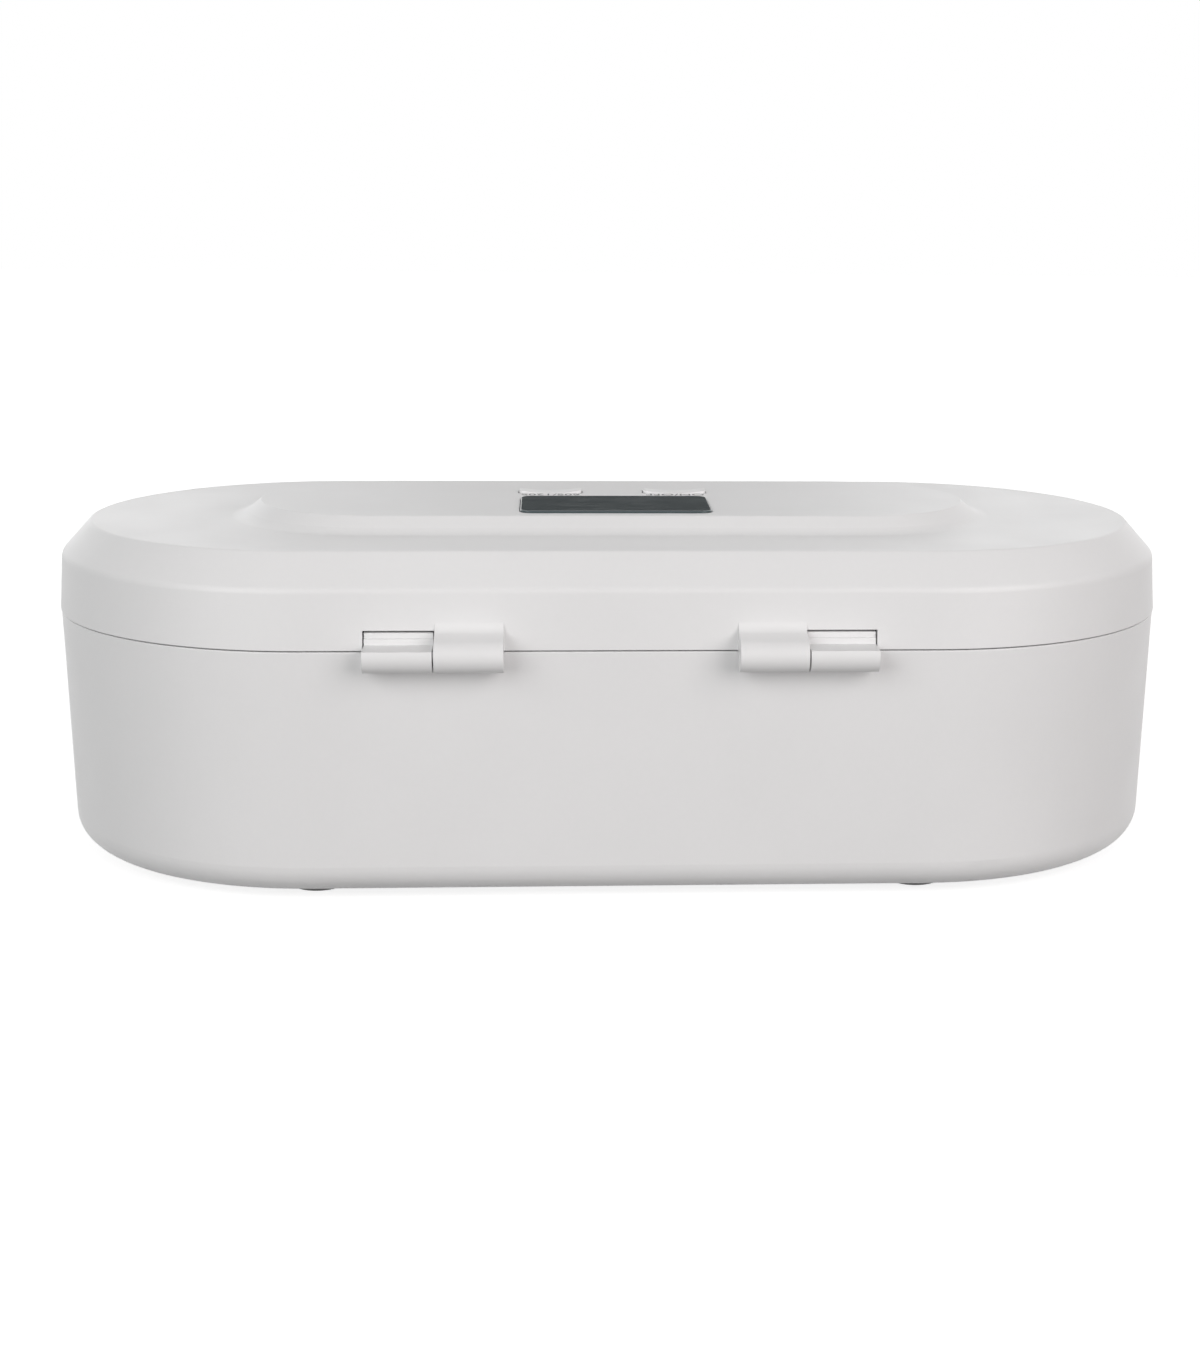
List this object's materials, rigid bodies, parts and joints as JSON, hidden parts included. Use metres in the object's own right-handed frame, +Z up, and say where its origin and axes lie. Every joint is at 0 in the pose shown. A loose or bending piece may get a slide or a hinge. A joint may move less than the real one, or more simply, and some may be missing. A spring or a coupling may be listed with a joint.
{
  "type": "nail tool sterilizer box",
  "caption": "Racetrack-shaped white tub with a rear-hinged lid that holds an ultraviolet lamp, a display and push buttons.",
  "frame": {"origin": "middle of the footprint, hinges included, on the surface that the feet stand on", "axes": "+X along the length, +Y towards the hinges at the back, +Z up"},
  "size_m": [0.26, 0.1298, 0.0819],
  "materials": {
    "white_shell": "fine satin, moulded",
    "white_button": "satin, moulded",
    "mirror_lining": "metallised mirror",
    "smoked_window": "polished, smoked",
    "clear_plastic": "polished, clear",
    "foot_rubber": "matt",
    "screw_steel": "plated",
    "pin_steel": "ground",
    "socket_steel": "drawn, plated",
    "magnet": "nickel plated",
    "lamp_board": "white solder mask",
    "led": "clear dome on ceramic",
    "circuit_board": "green solder mask",
    "switch_body": "moulded",
    "display_block": "moulded, printed face",
    "black_moulding": "moulded",
    "plug_nylon": "moulded",
    "lead_sheath": "smooth sheath"
  },
  "bodies": {
    "base": {"base_shell": "white_shell", "base_liner": "mirror_lining", "base_screws": "screw_steel", "foot_front_left": "foot_rubber", "foot_front_right": "foot_rubber", "foot_rear_left": "foot_rubber", "foot_rear_right": "foot_rubber", "hinge_pin_left": "pin_steel", "hinge_pin_right": "pin_steel", "sensor_magnet": "magnet"},
    "lid": {"lid_shell": "white_shell", "lid_inner_panel": "mirror_lining", "panel_screws": "screw_steel", "lamp_cover": "clear_plastic", "lamp_board": "lamp_board", "lamp_leds": "led", "lamp_screws": "screw_steel", "control_board": "circuit_board", "control_screws": "screw_steel", "power_switch": "switch_body", "timer_switch": "switch_body", "display_window": "smoked_window", "display_module": "display_block", "buzzer": "black_moulding", "board_chips": "black_moulding", "power_socket": "socket_steel", "socket_board": "circuit_board", "sensor_board": "circuit_board", "lid_sensor": "black_moulding", "lead_plugs": "plug_nylon", "power_lead": "lead_sheath", "lamp_lead": "lead_sheath", "sensor_lead": "lead_sheath"},
    "power_button": {"power_button": "white_button"},
    "timer_button": {"timer_button": "white_button"}
  },
  "joints": [
    {"name": "lid_hinge", "type": "hinge", "parent": "base", "child": "lid", "pos_m": [0, 0.06145, 0.0569], "axis": [-1, 0, 0], "range_deg": [0, 105]},
    {"name": "power_press", "type": "slide", "parent": "lid", "child": "power_button", "axis": [0, 0, -1], "range_m": [0, 0.0005], "stiffness_N_per_m": 1500},
    {"name": "timer_press", "type": "slide", "parent": "lid", "child": "timer_button", "axis": [0, 0, -1], "range_m": [0, 0.0005], "stiffness_N_per_m": 1500}
  ]
}
